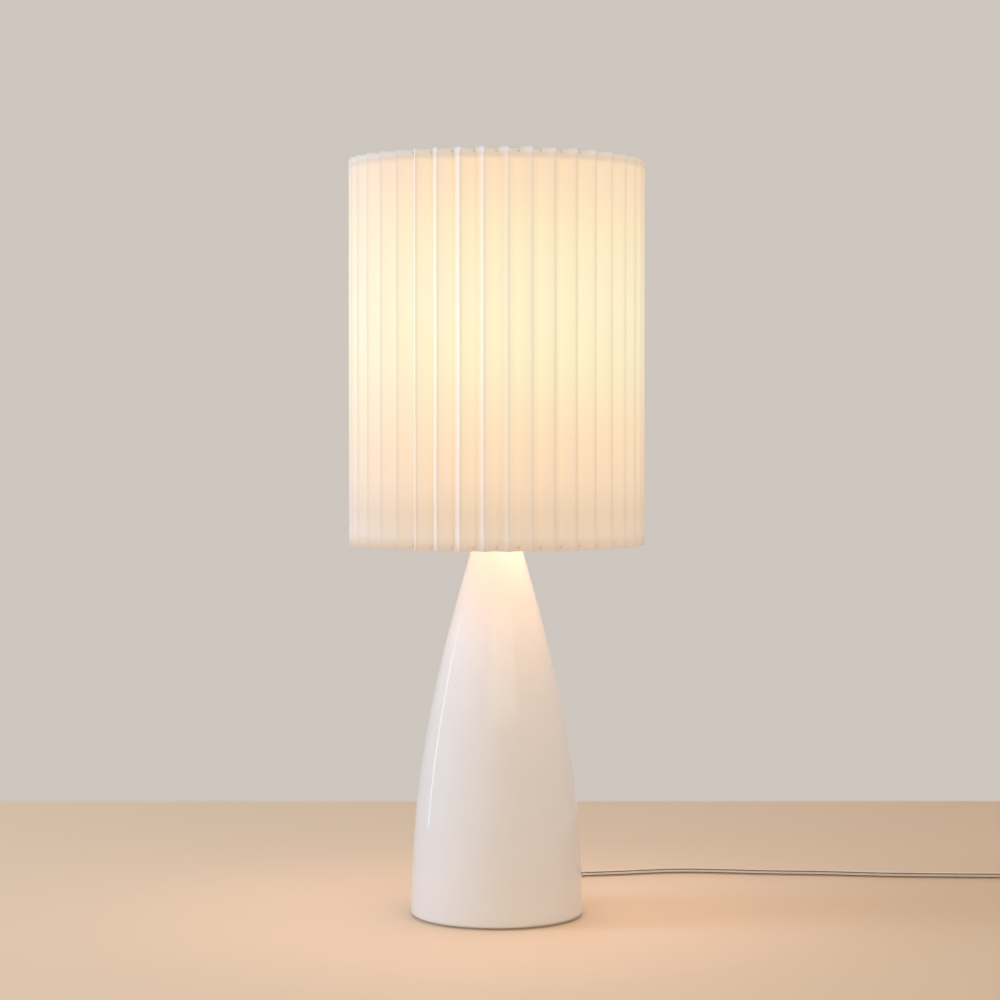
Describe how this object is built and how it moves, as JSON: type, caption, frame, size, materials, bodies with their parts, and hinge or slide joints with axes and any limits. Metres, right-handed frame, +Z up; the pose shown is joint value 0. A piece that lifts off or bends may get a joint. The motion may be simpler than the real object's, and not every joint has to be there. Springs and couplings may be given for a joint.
{
  "type": "table lamp",
  "caption": "Table lamp with an accordion-pleated paper drum shade on a slim glazed bottle base, with harp, finial, screw bulb, turn switch and a coiled two-core cord.",
  "frame": {"origin": "on the table, under the middle of the base: the centre of the felt's underside", "axes": "+Z up along the lamp's axis; -Y is the front, where the switch knob points; +X is to the right, where the cord runs"},
  "size_m": [0.7056, 0.438, 0.652],
  "materials": {
    "glazed_white": "gloss glaze",
    "pleated_paper": "matt folded paper",
    "band_card": "matt card",
    "white_wire": "white enamel",
    "brass": "satin brass",
    "plated_wire": "nickel plated steel",
    "steel": "zinc plated steel",
    "contact_brass": "bright brass",
    "weight_iron": "black painted iron",
    "felt": "dark felt",
    "board": "pressed fibreboard",
    "liner_card": "fibre paper",
    "seat_rubber": "matt rubber",
    "phenolic": "moulded phenolic",
    "knob_black": "moulded black plastic",
    "shaft_brass": "drawn brass",
    "globe_diffuser": "milky diffuser, lit",
    "bulb_white": "moulded white plastic",
    "lit_board": "white printed board",
    "cap_nickel": "nickel plated",
    "contact_tin": "tinned",
    "clear_cord": "clear vinyl over copper strands",
    "clear_plug": "clear moulded vinyl"
  },
  "bodies": {
    "base": {"base_felt": "felt", "bottom_cover": "board", "base_body": "glazed_white", "weight_disc": "weight_iron", "rod_washer": "steel", "rod_nut": "steel", "lamp_rod": "steel", "cord_bushing": "clear_plug", "inner_lead": "clear_cord", "cap_seat": "seat_rubber", "vase_cap": "brass", "neck_tube": "brass", "harp_saddle": "plated_wire", "harp_wire": "plated_wire", "harp_seat": "brass", "socket_cap": "brass", "socket_shell": "brass", "socket_liner": "liner_card", "socket_core": "phenolic", "screw_shell": "contact_brass", "centre_contact": "contact_brass", "terminal_screws": "contact_brass", "cord_lead": "clear_cord", "cord_coil": "clear_cord", "cord_tail": "clear_cord", "plug_body": "clear_plug", "plug_blades": "contact_brass"},
    "shade": {"shade_paper": "pleated_paper", "shade_top_band": "band_card", "shade_bottom_band": "band_card", "shade_top_ring": "white_wire", "shade_bottom_ring": "white_wire", "fitter_arms": "white_wire", "fitter_hub": "brass"},
    "finial": {"finial": "brass"},
    "sleeve_left": {"harp_sleeve_left": "brass"},
    "sleeve_right": {"harp_sleeve_right": "brass"},
    "bulb": {"bulb_globe": "globe_diffuser", "bulb_housing": "bulb_white", "led_board": "lit_board", "bulb_cap": "cap_nickel", "bulb_contact": "contact_tin"},
    "switch": {"switch_shaft": "shaft_brass", "switch_knob": "knob_black"}
  },
  "joints": [
    {"name": "shade_lift", "type": "slide", "parent": "base", "child": "shade", "axis": [0, 0, 1], "range_m": [0, 0.33]},
    {"name": "finial_turn", "type": "hinge", "parent": "shade", "child": "finial", "pos_m": [0, 0, 0.64], "axis": [0, 0, 1], "continuous": true},
    {"name": "sleeve_left_lift", "type": "slide", "parent": "base", "child": "sleeve_left", "axis": [0, 0, 1], "range_m": [0, 0.012]},
    {"name": "sleeve_right_lift", "type": "slide", "parent": "base", "child": "sleeve_right", "axis": [0, 0, 1], "range_m": [0, 0.012]},
    {"name": "bulb_turn", "type": "hinge", "parent": "base", "child": "bulb", "pos_m": [0, 0, 0.5], "axis": [0, 0, 1], "continuous": true},
    {"name": "switch_turn", "type": "hinge", "parent": "base", "child": "switch", "pos_m": [0, -0.03, 0.4265], "axis": [0, -1, 0], "continuous": true}
  ]
}
